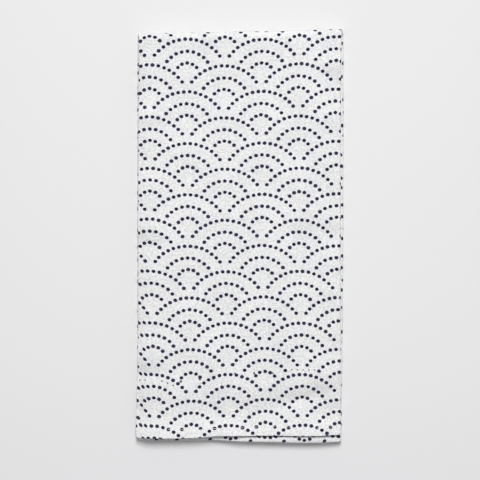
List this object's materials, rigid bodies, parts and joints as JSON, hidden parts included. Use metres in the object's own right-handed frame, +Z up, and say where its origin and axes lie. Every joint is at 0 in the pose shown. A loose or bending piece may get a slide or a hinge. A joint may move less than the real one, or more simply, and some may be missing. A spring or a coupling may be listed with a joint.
{
  "type": "furoshiki",
  "caption": "Square cotton wrapping cloth with a dotted wave print, folded into a flat oblong stack with its hems at one end.",
  "frame": {"origin": "middle of the folded cloth's footprint, on its underside", "axes": "+X to the side of the wide lengthwise folds, +Y along the long side to the cross fold, +Z up through the layers"},
  "size_m": [0.1271, 0.2529, 0.0102],
  "materials": {
    "printed_cotton": "plain woven white cotton, matt, with small navy dots printed in overlapping wave arcs"
  },
  "bodies": {
    "root": {"folded_cloth": "printed_cotton"}
  },
  "joints": []
}
